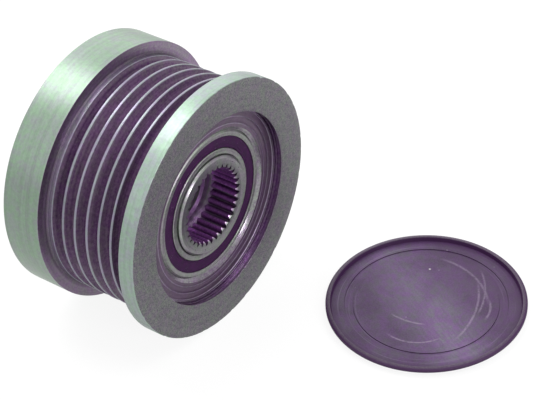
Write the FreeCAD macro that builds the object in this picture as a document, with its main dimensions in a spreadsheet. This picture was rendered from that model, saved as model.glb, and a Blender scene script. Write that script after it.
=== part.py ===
import FreeCAD
import Part
import math
import os
import re
import Sketcher
from FreeCAD import Rotation, Vector

# Overrunning alternator pulley with its dust cap taken off.
# The axis lies along Y and the front face looks towards -Y.
# The origin is on the axis, at the hub's rear seat, where the alternator shaft enters.
# Every turned piece is drawn from its own front end, with the radius along X.
# The spline and the thread have diameters. Every other radius is a step from the piece inside it.
# With the sizes below the bearings come to 25 x 37 x 7, the crests to 58.7 and the rims to 65.

# Driving dimensions, in millimetres and degrees

SIZES = [
    # the grooved ring
    ("ring_width", 38.8, "front face to rear face of the grooved ring"),
    ("ring_wall", 10.85, "bearing bore to the crests of the ribs between the grooves"),
    ("rim_height", 3.15, "both rims above the crests"),
    ("front_rim_width", 4.15, "front face to the rear edge of the front rim"),
    ("rim_chamfer", 0.12, "edges of both rims"),
    ("front_wall_run", 0.55, "slope of the front rim's inner wall, along the axis"),
    ("front_land", 1.21, "front rim to the first groove, at the crests"),
    ("rear_land", 1.53, "last groove to the rear rim, at the crests"),
    ("groove_count", 6, "belt grooves"),
    ("groove_pitch", 3.56, "groove to groove, PK profile"),
    ("groove_angle", 40.0, "angle between a groove's flanks"),
    ("crest_flat", 0.6, "crest between two grooves before it is rounded"),
    ("root_flat", 0.7, "floor of a groove before it is rounded"),
    ("crest_round", 0.22, "rounding of each crest edge"),
    ("root_round", 0.3, "rounding of each groove's floor"),
    ("land_fillet", 0.45, "fillet between the rear land and the rear rim"),
    # the recess that the dust cap snaps into, from the bearing bore outwards
    ("bore_chamfer", 1.0, "lead-in of the bearing bore, across the radius"),
    ("bore_chamfer_depth", 0.8, "lead-in of the bearing bore, along the axis"),
    ("recess_floor", 4.35, "recess floor, from the lead-in to the wall"),
    ("recess_fillet", 0.35, "corner of the recess floor"),
    ("ledge_width", 0.6, "last ring before the recess floor, along the axis"),
    ("mouth_step", 0.3, "lip at the front face, outside the ledge"),
    ("lip_width", 0.35, "lip in front of the snap groove"),
    ("snap_depth", 0.75, "snap groove below the lip"),
    ("snap_width", 1.1, "snap groove, along the axis"),
    ("seat_step", 0.2, "wall behind the snap groove, outside the lip"),
    ("seat_width", 0.3, "wall behind the snap groove, along the axis"),
    ("relief_step", 0.2, "fine relief below the seat wall"),
    ("relief_width", 0.25, "fine relief, along the axis"),
    ("counterbore_floor", 2.0, "floor of the rear counterbore, outside the lead-in"),
    ("counterbore_depth", 1.2, "shallow counterbore in the rear face"),
    # the bearings
    ("front_setback", 0.45, "recess floor to the front bearing"),
    ("rear_setback", 1.2, "counterbore floor to the rear bearing"),
    ("ball_diameter", 3.5, "steel ball"),
    ("ball_count", 18, "balls in each bearing"),
    ("race_wall", 1.25, "each bearing ring under the ball's track"),
    ("race_relief", 0.07, "track's radius above the ball's"),
    ("ball_gap", 0.03, "clearance between a ball and each raceway"),
    ("bearing_chamfer", 0.32, "corners of the bearing rings"),
    ("inner_shoulder", 1.6, "inner ring's shoulder above its bore"),
    ("outer_shoulder", 1.7, "outer ring's shoulder inside its outer face"),
    ("seal_step", 0.35, "outer ring's shoulder to the seal's seat, across the radius"),
    ("seal_undercut", 0.3, "groove that holds the seal, below its seat"),
    ("seal_undercut_width", 0.4, "groove that holds the seal, along the axis"),
    ("seal_depth", 0.3, "bearing face to the seal"),
    ("seal_thickness", 0.65, "rubber seal"),
    ("seal_lip_gap", 0.1, "running gap between the seal lip and the inner ring"),
    ("lip_ridge", 0.15, "raised ridge round the seal's lip, and its slope behind"),
    ("lip_ridge_width", 0.45, "raised ridge round the seal's lip, across the radius"),
    ("cage_end_gap", 0.33, "seal to the back of the ball cage"),
    ("cage_back", 0.35, "cage behind the ball pockets"),
    ("cage_reach", 0.95, "cage past the ball centres"),
    ("cage_gap", 0.3, "clearance between the ball cage and the shoulders"),
    ("pocket_gap", 0.12, "clearance between a ball and its pocket"),
    # the one-way clutch between the bearings
    ("clutch_end_gap", 0.05, "clutch rings to the bearings, at each end"),
    ("sleeve_wall", 1.6, "hardened outer sleeve"),
    ("ramp_count", 12, "ramps, rollers, windows and springs"),
    ("ramp_flange", 2.25, "round ends of the ramp ring above its bore"),
    ("ramp_flange_width", 2.4, "round ends of the ramp ring"),
    ("roller_diameter", 3.0, "clutch roller"),
    ("roller_gap", 0.04, "roller to ramp and to sleeve, when it runs free"),
    ("roller_offset", 0.7, "roller beside the middle of its window"),
    ("roller_end_gap", 0.2, "roller to the sides of its window, at each end"),
    ("roller_side_gap", 0.15, "roller to the bar that it runs free against"),
    ("window_end_bar", 2.6, "end ring of the roller cage"),
    ("roller_cage_inner_gap", 0.08, "roller cage on the ramp ring's round ends"),
    ("roller_cage_outer_gap", 0.25, "roller cage to the sleeve"),
    ("spring_thickness", 0.18, "leaf spring"),
    ("spring_end_gap", 3.0, "leaf spring to the sides of its window, at each end"),
    # the hub, from the socket outwards
    ("spline_tip", 18.4, "inner diameter of the socket's spline"),
    ("spline_depth", 1.15, "height of the socket's teeth"),
    ("spline_mouth_step", 0.7, "mouth of the socket, inside the spline's root"),
    ("spline_bevel", 0.5, "bevel of the spline's front ends, along the axis"),
    ("spline_length", 7.6, "spline, along the axis"),
    ("spline_count", 33, "teeth of the socket"),
    ("spline_tip_flat", 0.25, "flat on each tooth"),
    ("spline_root_flat", 0.12, "flat between two teeth"),
    ("undercut_step", 0.25, "undercut behind the spline, below its root"),
    ("undercut_width", 1.3, "undercut behind the spline"),
    ("hub_wall", 1.9, "undercut to the bearings' seat on the hub"),
    ("hub_reach", 0.75, "hub's front end in front of the front bearing"),
    ("hub_stand", 1.0, "hub's rear seat behind the grooved ring"),
    ("hub_chamfer", 0.45, "front edge of the hub"),
    ("collar_height", 1.8, "collar behind the rear bearing, above its seat"),
    ("collar_chamfer", 0.4, "edge of the collar"),
    ("thread_diameter", 16.0, "M16 x 1.5 thread"),
    ("thread_depth", 0.81, "depth of the thread"),
    ("thread_mouth_step", 0.3, "mouth of the thread, outside its diameter"),
    ("thread_length", 15.0, "thread, with its lead-in and runout"),
    ("thread_runout", 0.8, "cone between the thread and the pilot bore"),
    ("pilot_step", 0.5, "pilot bore on the alternator shaft, outside the thread"),
    ("pilot_chamfer", 0.3, "mouth of the pilot bore"),
    # the dust cap, lying beside the pulley on the plane that both rims touch
    ("cap_hold", 0.35, "snap bead of the dust cap, outside the lip that it snaps behind"),
    ("cap_skirt_gap", 1.6, "wall below the snap bead, inside the lip"),
    ("cap_foot_height", 0.6, "foot ring under the cap"),
    ("cap_foot_width", 1.5, "foot ring under the cap, across the radius"),
    ("cap_floor", 0.8, "thickness of the dished floor"),
    ("cap_dish_depth", 1.1, "rim above the dished floor"),
    ("cap_dish_slope", 0.3, "slope of the rim's inner wall"),
    ("cap_bead_width", 0.75, "snap bead"),
    ("cap_bead_top", 0.3, "top of the rim to the snap bead"),
    ("cap_bead_slope", 0.7, "slope under the snap bead, along the axis"),
    ("cap_shoulder", 0.8, "slope over the snap bead, across the radius"),
    ("cap_rim_width", 0.35, "flat top of the rim"),
    ("cap_rim_round", 0.2, "rounded edges of the rim"),
    ("cap_line_inset", 4.35, "fine line inside the edge of the dished floor"),
    ("cap_line_width", 0.28, "fine line, width"),
    ("cap_line_depth", 0.15, "fine line, depth"),
    ("cap_right", 27.05, "cap beside the axis"),
    ("cap_forward", 39.3, "cap in front of the front face"),
]

ALIASES = {name for name, value, note in SIZES}
SAME_PLACE = 1e-4

doc = FreeCAD.newDocument("alternator_pulley")
sheet = doc.addObject("Spreadsheet::Sheet", "Sizes")
for row, (alias, value, note) in enumerate(SIZES, start=1):
    sheet.set("A%d" % row, alias)
    sheet.set("B%d" % row, str(value))
    sheet.set("C%d" % row, note)
    sheet.setAlias("B%d" % row, alias)
doc.recompute()


# How the sketches and features are bound to the sheet

def bound(text):
    """The text with each alias written as a cell of the sheet."""
    return re.sub(r"[a-z_]+", lambda word: "Sizes." + word[0] if word[0] in ALIASES else word[0], text)


def number(text):
    """What a length or a count written with aliases comes to now."""
    return float(sheet.evalExpression(bound(text)))


def origin_feature(body, role):
    return next(item for item in body.Origin.OriginFeatures if item.Role == role)


def new_body(label, at=("0", "0", "0"), turn=None):
    """A sub-part with its own label and a placement that follows the sheet."""
    body = doc.addObject("PartDesign::Body", label)
    body.Label = label
    body.AllowCompound = True
    if turn:
        body.Placement = FreeCAD.Placement(Vector(), turn)
    for side, text in zip("xyz", at):
        if text != "0":
            body.setExpression("Placement.Base." + side, bound(text))
    return body


def new_sketch(body, name, plane, shift=None):
    """A sketch on one of the body's own planes, moved along its normal if asked."""
    sketch = body.newObject("Sketcher::SketchObject", name)
    sketch.AttachmentSupport = [(origin_feature(body, plane), "")]
    sketch.MapMode = "FlatFace"
    if shift:
        sketch.setExpression("AttachmentOffset.Base.z", bound(shift))
    return sketch


def bind(sketch, constraint, text):
    """Adds a constraint whose value follows the sheet."""
    index = sketch.addConstraint(constraint)
    sketch.setExpression("Constraints[%d]" % index, bound(text))


def place_point(sketch, edge, end, x, y):
    """Binds one end of an edge to a place measured from the sketch's origin."""
    for kind, axis, text in (("DistanceX", -2, x), ("DistanceY", -1, y)):
        if text == "0":
            sketch.addConstraint(Sketcher.Constraint("PointOnObject", edge, end, axis))
        else:
            bind(sketch, Sketcher.Constraint(kind, edge, end, number(text)), text)


def outline(body, name, corners, plane="XY_Plane", shift=None):
    """A closed outline of straight lines through the given corners."""
    sketch = new_sketch(body, name, plane, shift)
    points = [Vector(number(x), number(y), 0) for x, y in corners]
    count = len(points)
    for edge, start in enumerate(points):
        sketch.addGeometry(Part.LineSegment(start, points[(edge + 1) % count]))
    for edge in range(count):
        sketch.addConstraint(Sketcher.Constraint("Coincident", edge, 2, (edge + 1) % count, 1))
    for edge, (x, y) in enumerate(corners):
        place_point(sketch, edge, 1, x, y)
    return sketch


def round_outline(body, name, x, y, radius, plane="XY_Plane", shift=None):
    """A circle with a bound centre and radius."""
    sketch = new_sketch(body, name, plane, shift)
    sketch.addGeometry(Part.Circle(Vector(number(x), number(y), 0), Vector(0, 0, 1), number(radius)))
    place_point(sketch, 0, 3, x, y)
    bind(sketch, Sketcher.Constraint("Radius", 0, number(radius)), radius)
    return sketch


def turned(body, sketch, kind="PartDesign::Revolution"):
    """The sketch turned all the way round the pulley's axis."""
    feature = body.newObject(kind, sketch.Name + "_turn")
    feature.Profile = sketch
    feature.ReferenceAxis = (sketch, ["V_Axis"])
    feature.Angle = 360
    sketch.Visibility = False
    doc.recompute()
    return feature


def sphere(body, name, kind, x, y, radius):
    """A ball, or the hollow of one: half a disc turned round its own straight side."""
    sketch = new_sketch(body, name + "_half", "XY_Plane")
    centre = Vector(number(x), number(y), 0)
    size = number(radius)
    whole = Part.Circle(centre, Vector(0, 0, 1), size)
    sketch.addGeometry(Part.ArcOfCircle(whole, -math.pi / 2, math.pi / 2))
    sketch.addGeometry(Part.LineSegment(centre + Vector(0, size, 0), centre - Vector(0, size, 0)))
    sketch.addConstraint(Sketcher.Constraint("Coincident", 0, 2, 1, 1))
    sketch.addConstraint(Sketcher.Constraint("Coincident", 0, 1, 1, 2))
    sketch.addConstraint(Sketcher.Constraint("Vertical", 1))
    sketch.addConstraint(Sketcher.Constraint("PointOnObject", 0, 3, 1))
    place_point(sketch, 0, 3, x, y)
    bind(sketch, Sketcher.Constraint("Radius", 0, size), radius)
    feature = body.newObject(kind, name)
    feature.Profile = sketch
    feature.ReferenceAxis = (sketch, ["Edge2"])
    feature.Angle = 360
    doc.recompute()
    return feature


def straight(body, sketch, kind, length):
    """The sketch padded or pocketed along the axis towards the rear, from its own plane."""
    feature = body.newObject(kind, sketch.Name + "_run")
    feature.Profile = sketch
    feature.setExpression("Length", bound(length))
    # an XZ plane faces the front, and a pocket runs against its sketch's normal
    feature.Reversed = kind == "PartDesign::Pad"
    doc.recompute()
    return feature


def round_the_axis(body, feature, count):
    """Copies of a feature, evenly spaced round the pulley's axis."""
    pattern = body.newObject("PartDesign::PolarPattern", feature.Name + "_ring")
    pattern.Originals = [feature]
    pattern.Axis = (origin_feature(body, "Y_Axis"), [""])
    pattern.Angle = 360
    pattern.setExpression("Occurrences", bound(count))
    body.Tip = pattern
    doc.recompute()


def circles_at(feature, radius, low, high):
    """Names of the full circles of a given radius, between two places along the axis."""
    names = []
    for index, edge in enumerate(feature.Shape.Edges, start=1):
        curve = edge.Curve
        if isinstance(curve, Part.Circle) and abs(curve.Radius - number(radius)) < SAME_PLACE:
            if number(low) - SAME_PLACE <= curve.Center.y <= number(high) + SAME_PLACE:
                names.append("Edge%d" % index)
    return names


def rounded(body, feature, edges, radius):
    """Rounds the named edges of a feature."""
    fillet = body.newObject("PartDesign::Fillet", feature.Name + "_round")
    fillet.Base = (feature, edges)
    fillet.setExpression("Radius", bound(radius))
    doc.recompute()
    return fillet


# Radii shared by several pieces, from the socket outwards

SPLINE_TIP = "spline_tip / 2"
SPLINE_ROOT = "(spline_tip / 2 + spline_depth)"
UNDERCUT = "(%s + undercut_step)" % SPLINE_ROOT
JOURNAL = "(%s + hub_wall)" % UNDERCUT
BALL_CIRCLE = "(%s + race_wall + ball_diameter / 2)" % JOURNAL
BEARING_BORE = "(%s + 2 * race_wall + ball_diameter)" % JOURNAL
INNER_SHOULDER = "(%s + inner_shoulder)" % JOURNAL
OUTER_SHOULDER = "(%s - outer_shoulder)" % BEARING_BORE
SEAL_SEAT = "(%s + seal_step)" % OUTER_SHOULDER
SEAL_UNDERCUT = "(%s + seal_undercut)" % SEAL_SEAT
RAMP_FLANGE = "(%s + ramp_flange)" % JOURNAL
SLEEVE_INNER = "(%s - sleeve_wall)" % BEARING_BORE
RAMP = "(%s - roller_diameter - 2 * roller_gap)" % SLEEVE_INNER
ROLLER_CIRCLE = "(%s - roller_diameter / 2 - roller_gap)" % SLEEVE_INNER
LEAD_IN = "(%s + bore_chamfer)" % BEARING_BORE
LEDGE = "(%s + recess_floor)" % LEAD_IN
MOUTH = "(%s + mouth_step)" % LEDGE
CREST = "(%s + ring_wall)" % BEARING_BORE
RIM = "(%s + rim_height)" % CREST

# Places along the axis shared by several pieces, from the ring's front face

FRONT_FACE = "-(ring_width + hub_stand)"
SEAL_END = "(seal_depth + seal_thickness)"
POCKET = "(ball_diameter / 2 + pocket_gap)"
BEARING_WIDTH = "(2 * (%s + cage_end_gap + cage_back + %s))" % (SEAL_END, POCKET)
RECESS_DEPTH = "(lip_width + snap_width + seat_width + relief_width + ledge_width)"
FRONT_DEPTH = "(%s + front_setback)" % RECESS_DEPTH
REAR_DEPTH = "(counterbore_depth + rear_setback)"
HUB_DEPTH = "(%s - hub_reach)" % FRONT_DEPTH
HUB_LENGTH = "(ring_width + hub_stand - %s)" % HUB_DEPTH
FRONT_BEARING = "%s + %s" % (FRONT_FACE, FRONT_DEPTH)
REAR_BEARING = "-(hub_stand + %s + %s)" % (REAR_DEPTH, BEARING_WIDTH)
CLUTCH_FRONT = "%s + %s + clutch_end_gap" % (FRONT_BEARING, BEARING_WIDTH)
CLUTCH_LENGTH = "(ring_width - %s - %s - 2 * %s - 2 * clutch_end_gap)" % (FRONT_DEPTH, REAR_DEPTH, BEARING_WIDTH)
HALF_WINDOW = "(roller_offset + roller_diameter / 2 + roller_side_gap)"


# The grooved ring that the belt drives

def make_ring():
    body = new_body("grooved_ring", ("0", FRONT_FACE, "0"))
    half_groove = "(groove_pitch - crest_flat) / 2"
    half_angle = "(groove_angle * 1deg / 2)"
    depth = "(%s - root_flat / 2) / tan%s" % (half_groove, half_angle)
    first_edge = "(front_rim_width + front_wall_run + front_land)"
    first_groove = "(%s + %s)" % (first_edge, half_groove)
    last_edge = "(%s + groove_pitch * (groove_count - 1) + %s)" % (first_groove, half_groove)
    rear_wall = "(%s + rear_land)" % last_edge
    snap = "%s + snap_depth" % MOUTH
    snap_end = "lip_width + snap_width"
    seat = "%s + seat_step" % MOUTH
    seat_end = snap_end + " + seat_width"
    relief = seat + " + relief_step"
    relief_end = seat_end + " + relief_width"
    counterbore = "%s + counterbore_floor" % LEAD_IN
    counterbore_start = "ring_width - counterbore_depth"
    turned(body, outline(body, "ring_section", [
        (MOUTH, "0"),
        (RIM + " - rim_chamfer", "0"),
        (RIM, "rim_chamfer"),
        (RIM, "front_rim_width"),
        (CREST, "front_rim_width + front_wall_run"),
        (CREST, rear_wall),
        (RIM, rear_wall),
        (RIM, "ring_width - rim_chamfer"),
        (RIM + " - rim_chamfer", "ring_width"),
        (counterbore, "ring_width"),
        (counterbore, counterbore_start),
        (LEAD_IN, counterbore_start),
        (BEARING_BORE, counterbore_start + " - bore_chamfer_depth"),
        (BEARING_BORE, RECESS_DEPTH + " + bore_chamfer_depth"),
        (LEAD_IN, RECESS_DEPTH),
        (LEDGE, RECESS_DEPTH),
        (LEDGE, relief_end),
        (relief, relief_end),
        (relief, seat_end),
        (seat, seat_end),
        (seat, snap_end),
        (snap, snap_end),
        (snap, "lip_width"),
        (MOUTH, "lip_width"),
    ]))

    # one V groove, open past the crests, then the rest at the pitch of the belt
    root = "(%s - %s)" % (CREST, depth)
    past_crest = CREST + " + crest_flat"
    half_top = "(%s + crest_flat * tan%s)" % (half_groove, half_angle)
    groove = outline(body, "belt_groove", [
        (root, first_groove + " - root_flat / 2"),
        (past_crest, first_groove + " - " + half_top),
        (past_crest, first_groove + " + " + half_top),
        (root, first_groove + " + root_flat / 2"),
    ])
    cut = turned(body, groove, "PartDesign::Groove")
    grooves = body.newObject("PartDesign::LinearPattern", "belt_grooves")
    grooves.Originals = [cut]
    grooves.Direction = (origin_feature(body, "Y_Axis"), [""])
    grooves.setExpression("Length", bound("groove_pitch * (groove_count - 1)"))
    grooves.setExpression("Occurrences", bound("groove_count"))
    body.Tip = grooves
    doc.recompute()

    # rounded roots, then rounded crests, then the two fillets at corners
    step = rounded(body, grooves, circles_at(grooves, root, "0", "ring_width"), "root_round")
    step = rounded(body, step, circles_at(step, CREST, first_edge, last_edge), "crest_round")
    step = rounded(body, step, circles_at(step, CREST, rear_wall, rear_wall), "land_fillet")
    rounded(body, step, circles_at(step, LEDGE, RECESS_DEPTH, RECESS_DEPTH), "recess_fillet")


# The hub that screws onto the alternator shaft

def make_hub():
    body = new_body("hub", ("0", FRONT_FACE + " + " + HUB_DEPTH, "0"))
    collar = JOURNAL + " + collar_height"
    collar_front = "%s - hub_stand - %s" % (HUB_LENGTH, REAR_DEPTH)
    thread_front = "spline_length + undercut_width"
    thread_rear = thread_front + " + thread_length"
    thread = "thread_diameter / 2 - thread_depth"
    pilot = "thread_diameter / 2 + pilot_step"
    turned(body, outline(body, "hub_section", [
        (SPLINE_ROOT + " - spline_mouth_step", "0"),
        (JOURNAL + " - hub_chamfer", "0"),
        (JOURNAL, "hub_chamfer"),
        (JOURNAL, collar_front),
        (collar, collar_front),
        (collar, HUB_LENGTH + " - collar_chamfer"),
        (collar + " - collar_chamfer", HUB_LENGTH),
        (pilot + " + pilot_chamfer", HUB_LENGTH),
        (pilot, HUB_LENGTH + " - pilot_chamfer"),
        (pilot, thread_rear),
        (thread, thread_rear + " - thread_runout"),
        (thread, thread_front + " + thread_depth + thread_mouth_step"),
        ("thread_diameter / 2 + thread_mouth_step", thread_front),
        (UNDERCUT, thread_front),
        (UNDERCUT, "spline_length"),
        (SPLINE_TIP, "spline_length"),
        (SPLINE_TIP, "spline_bevel"),
    ]))

    # one pointed gap of the tool socket, then the rest round the axis
    inside = SPLINE_TIP + " - spline_tip_flat"
    half_gap = "(pi * spline_tip / spline_count - spline_tip_flat) / 2"
    half_root = "spline_root_flat / 2"
    gap = outline(body, "spline_gap", [
        (inside, half_gap),
        (SPLINE_TIP, half_gap),
        (SPLINE_ROOT, half_root),
        (SPLINE_ROOT, "-(" + half_root + ")"),
        (SPLINE_TIP, "-(" + half_gap + ")"),
        (inside, "-(" + half_gap + ")"),
    ], "XZ_Plane")
    round_the_axis(body, straight(body, gap, "PartDesign::Pocket", "spline_length"), "spline_count")


# The two sealed ball bearings

def make_bearing(side, front):
    """One bearing, drawn from its front face: rings, balls, cage and two seals."""
    make_bearing_rings(side, front)
    make_balls(side, front)
    for end in ("front", "rear"):
        make_seal(side, end, front)


def make_bearing_rings(side, front):
    middle = BEARING_WIDTH + " / 2"
    width = BEARING_WIDTH
    track = "ball_diameter / 2 + race_relief"
    inner_track = "%s - ball_gap + race_relief" % BALL_CIRCLE
    outer_track = "%s + ball_gap - race_relief" % BALL_CIRCLE
    edge = "bearing_chamfer"
    small = "bearing_chamfer / 2"

    inner = new_body(side + "_inner_ring", ("0", front, "0"))
    turned(inner, outline(inner, side + "_inner_section", [
        ("%s + %s" % (JOURNAL, edge), "0"),
        ("%s - %s" % (INNER_SHOULDER, small), "0"),
        (INNER_SHOULDER, small),
        (INNER_SHOULDER, "%s - %s" % (width, small)),
        ("%s - %s" % (INNER_SHOULDER, small), width),
        ("%s + %s" % (JOURNAL, edge), width),
        (JOURNAL, "%s - %s" % (width, edge)),
        (JOURNAL, edge),
    ]))
    turned(inner, round_outline(inner, side + "_inner_race", inner_track, middle, track),
           "PartDesign::Groove")

    # the outer ring is the same from both faces, with a seat and a groove for each seal
    groove_start = "(%s - seal_undercut_width)" % SEAL_END
    fine = "bearing_chamfer / 4"
    outer = new_body(side + "_outer_ring", ("0", front, "0"))
    turned(outer, outline(outer, side + "_outer_section", [
        ("%s + %s" % (SEAL_SEAT, fine), "0"),
        ("%s - %s" % (BEARING_BORE, edge), "0"),
        (BEARING_BORE, edge),
        (BEARING_BORE, "%s - %s" % (width, edge)),
        ("%s - %s" % (BEARING_BORE, edge), width),
        ("%s + %s" % (SEAL_SEAT, fine), width),
        (SEAL_SEAT, "%s - %s" % (width, fine)),
        (SEAL_SEAT, "%s - %s" % (width, groove_start)),
        (SEAL_UNDERCUT, "%s - %s" % (width, groove_start)),
        (SEAL_UNDERCUT, "%s - %s" % (width, SEAL_END)),
        (OUTER_SHOULDER, "%s - %s" % (width, SEAL_END)),
        (OUTER_SHOULDER, SEAL_END),
        (SEAL_UNDERCUT, SEAL_END),
        (SEAL_UNDERCUT, groove_start),
        (SEAL_SEAT, groove_start),
        (SEAL_SEAT, fine),
    ]))
    turned(outer, round_outline(outer, side + "_outer_race", outer_track, middle, track),
           "PartDesign::Groove")


def make_balls(side, front):
    """The balls of one bearing and the snap-over cage that spaces them."""
    middle = BEARING_WIDTH + " / 2"
    balls = new_body(side + "_balls", ("0", front, "0"))
    ball = sphere(balls, side + "_ball", "PartDesign::Revolution", BALL_CIRCLE, middle, "ball_diameter / 2")
    round_the_axis(balls, ball, "ball_count")

    inner = INNER_SHOULDER + " + cage_gap"
    outer = OUTER_SHOULDER + " - cage_gap"
    back = SEAL_END + " + cage_end_gap"
    cage = new_body(side + "_ball_cage", ("0", front, "0"))
    turned(cage, outline(cage, side + "_cage_section", [
        (inner, back),
        (outer, back),
        (outer, middle + " + cage_reach"),
        (inner, middle + " + cage_reach"),
    ]))
    pocket = sphere(cage, side + "_pocket", "PartDesign::Groove", BALL_CIRCLE, middle, POCKET)
    round_the_axis(cage, pocket, "ball_count")


def make_seal(side, end, front):
    """A rubber seal, drawn from the face that it covers."""
    label = "%s_bearing_%s_seal" % (side, end)
    if end == "front":
        body = new_body(label, ("0", front, "0"))
    else:
        body = new_body(label, ("0", "%s + %s" % (front, BEARING_WIDTH), "0"), Rotation(Vector(0, 0, 1), 180))
    lip = INNER_SHOULDER + " + seal_lip_gap"
    undercut_start = SEAL_END + " - seal_undercut_width"
    turned(body, outline(body, label + "_section", [
        (lip + " + lip_ridge_width / 2", "seal_depth - lip_ridge"),
        (lip + " + lip_ridge_width", "seal_depth"),
        (SEAL_SEAT, "seal_depth"),
        (SEAL_SEAT, undercut_start),
        (SEAL_UNDERCUT, undercut_start),
        (SEAL_UNDERCUT, SEAL_END),
        (lip + " + lip_ridge_width", SEAL_END),
        (lip, SEAL_END + " - lip_ridge"),
        (lip, "seal_depth"),
    ]))


# The one-way clutch

def make_clutch():
    make_clutch_rings()
    make_rollers()
    make_roller_cage()
    make_springs()


def make_clutch_rings():
    """The hardened sleeve in the grooved ring, and the ramp ring on the hub."""
    at = ("0", CLUTCH_FRONT, "0")
    length = CLUTCH_LENGTH
    edge = "bearing_chamfer"
    sleeve = new_body("clutch_sleeve", at)
    turned(sleeve, outline(sleeve, "sleeve_section", [
        ("%s + %s" % (SLEEVE_INNER, edge), "0"),
        ("%s - %s" % (BEARING_BORE, edge), "0"),
        (BEARING_BORE, edge),
        (BEARING_BORE, "%s - %s" % (length, edge)),
        ("%s - %s" % (BEARING_BORE, edge), length),
        ("%s + %s" % (SLEEVE_INNER, edge), length),
        (SLEEVE_INNER, "%s - %s" % (length, edge)),
        (SLEEVE_INNER, edge),
    ]))

    # round ends, and a flat for each roller between them
    ramps = new_body("clutch_ramp_ring", at)
    turned(ramps, outline(ramps, "ramp_section", [
        (JOURNAL, "0"),
        (RAMP_FLANGE, "0"),
        (RAMP_FLANGE, length),
        (JOURNAL, length),
    ]))
    half_flat = "(%s + roller_gap) * tan(180deg / ramp_count) + roller_gap" % RAMP_FLANGE
    clear = RAMP_FLANGE + " + roller_diameter"
    flat = outline(ramps, "ramp_flat", [
        (RAMP, half_flat),
        (clear, half_flat),
        (clear, "-(" + half_flat + ")"),
        (RAMP, "-(" + half_flat + ")"),
    ], "XZ_Plane", "-ramp_flange_width")
    cut = straight(ramps, flat, "PartDesign::Pocket", length + " - 2 * ramp_flange_width")
    round_the_axis(ramps, cut, "ramp_count")


def make_rollers():
    """The rollers, each running free near one bar of its window."""
    margin = "(window_end_bar + roller_end_gap)"
    rollers = new_body("clutch_rollers", ("0", CLUTCH_FRONT, "0"))
    disc = round_outline(rollers, "roller_end", ROLLER_CIRCLE, "roller_offset", "roller_diameter / 2",
                         "XZ_Plane", "-" + margin)
    roller = straight(rollers, disc, "PartDesign::Pad", "%s - 2 * %s" % (CLUTCH_LENGTH, margin))
    round_the_axis(rollers, roller, "ramp_count")


def make_roller_cage():
    inner = RAMP_FLANGE + " + roller_cage_inner_gap"
    outer = SLEEVE_INNER + " - roller_cage_outer_gap"
    cage = new_body("clutch_cage", ("0", CLUTCH_FRONT, "0"))
    turned(cage, outline(cage, "roller_cage_section", [
        (inner, "0"),
        (outer, "0"),
        (outer, CLUTCH_LENGTH),
        (inner, CLUTCH_LENGTH),
    ]))
    window = outline(cage, "roller_window", [
        (JOURNAL, HALF_WINDOW),
        (BEARING_BORE, HALF_WINDOW),
        (BEARING_BORE, "-" + HALF_WINDOW),
        (JOURNAL, "-" + HALF_WINDOW),
    ], "XZ_Plane", "-window_end_bar")
    cut = straight(cage, window, "PartDesign::Pocket", CLUTCH_LENGTH + " - 2 * window_end_bar")
    round_the_axis(cage, cut, "ramp_count")


def make_springs():
    """A bent leaf spring between each roller and the far bar of its window."""
    springs = new_body("clutch_springs", ("0", CLUTCH_FRONT, "0"))
    bar = "-" + HALF_WINDOW
    reach = "(roller_offset - roller_diameter / 2 - roller_gap)"
    low = ROLLER_CIRCLE + " - roller_diameter / 4"
    high = ROLLER_CIRCLE + " + roller_diameter / 4"
    half_leaf = "spring_thickness / 2"
    margin = "(window_end_bar + spring_end_gap)"
    leaf = outline(springs, "spring_leaf", [
        (low, bar),
        (low + " + spring_thickness", bar),
        ("%s + %s" % (ROLLER_CIRCLE, half_leaf), reach + " - spring_thickness"),
        (high + " - spring_thickness", bar),
        (high, bar),
        ("%s + %s" % (ROLLER_CIRCLE, half_leaf), reach),
        ("%s - %s" % (ROLLER_CIRCLE, half_leaf), reach),
    ], "XZ_Plane", "-" + margin)
    spring = straight(springs, leaf, "PartDesign::Pad", "%s - 2 * %s" % (CLUTCH_LENGTH, margin))
    round_the_axis(springs, spring, "ramp_count")


# The dust cap, lying flat

def make_cap():
    forward = FRONT_FACE + " - cap_forward"
    body = new_body("dust_cap", ("cap_right", forward, "-" + RIM), Rotation(Vector(1, 0, 0), 90))
    bead = "(%s + cap_hold)" % MOUTH
    skirt = "(%s - cap_skirt_gap)" % MOUTH
    floor = "(cap_foot_height + cap_floor)"
    top = "(%s + cap_dish_depth)" % floor
    bead_top = top + " - cap_bead_top"
    bead_low = bead_top + " - cap_bead_width"
    shoulder = bead + " - cap_shoulder"
    wall = shoulder + " - cap_rim_width"
    dish = wall + " - cap_dish_slope"
    foot = skirt + " - cap_foot_width"
    line = dish + " - cap_line_inset"
    blank = turned(body, outline(body, "cap_section", [
        ("0", "cap_foot_height"),
        (foot, "cap_foot_height"),
        (foot, "0"),
        (skirt, "0"),
        (skirt, bead_low + " - cap_bead_slope"),
        (bead, bead_low),
        (bead, bead_top),
        (shoulder, top),
        (wall, top),
        (dish, floor),
        (line + " + cap_line_width / 2", floor),
        (line, floor + " - cap_line_depth"),
        (line + " - cap_line_width / 2", floor),
        ("0", floor),
    ]))
    edges = circles_at(blank, bead, bead_low, bead_top)
    for radius in (shoulder, wall):
        edges += circles_at(blank, radius, top, top)
    rounded(body, blank, edges, "cap_rim_round")


make_ring()
make_hub()
make_bearing("front", FRONT_BEARING)
make_bearing("rear", REAR_BEARING)
make_clutch()
make_cap()

# Every object is checked before anything is written

for item in doc.Objects:
    if "Invalid" in item.State or "Error" in item.State:
        raise RuntimeError("%s: %s" % (item.Label, item.State))
bodies = doc.findObjects("PartDesign::Body")
for body in bodies:
    if body.Shape.isNull() or not body.Shape.isValid() or not body.Shape.Solids:
        raise RuntimeError("%s has no valid solid" % body.Label)

os.makedirs("parts", exist_ok=True)
for body in bodies:
    body.Shape.exportStep("parts/%s.step" % body.Label)
    print(body.Label, len(body.Shape.Solids), round(body.Shape.Volume, 3))
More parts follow.
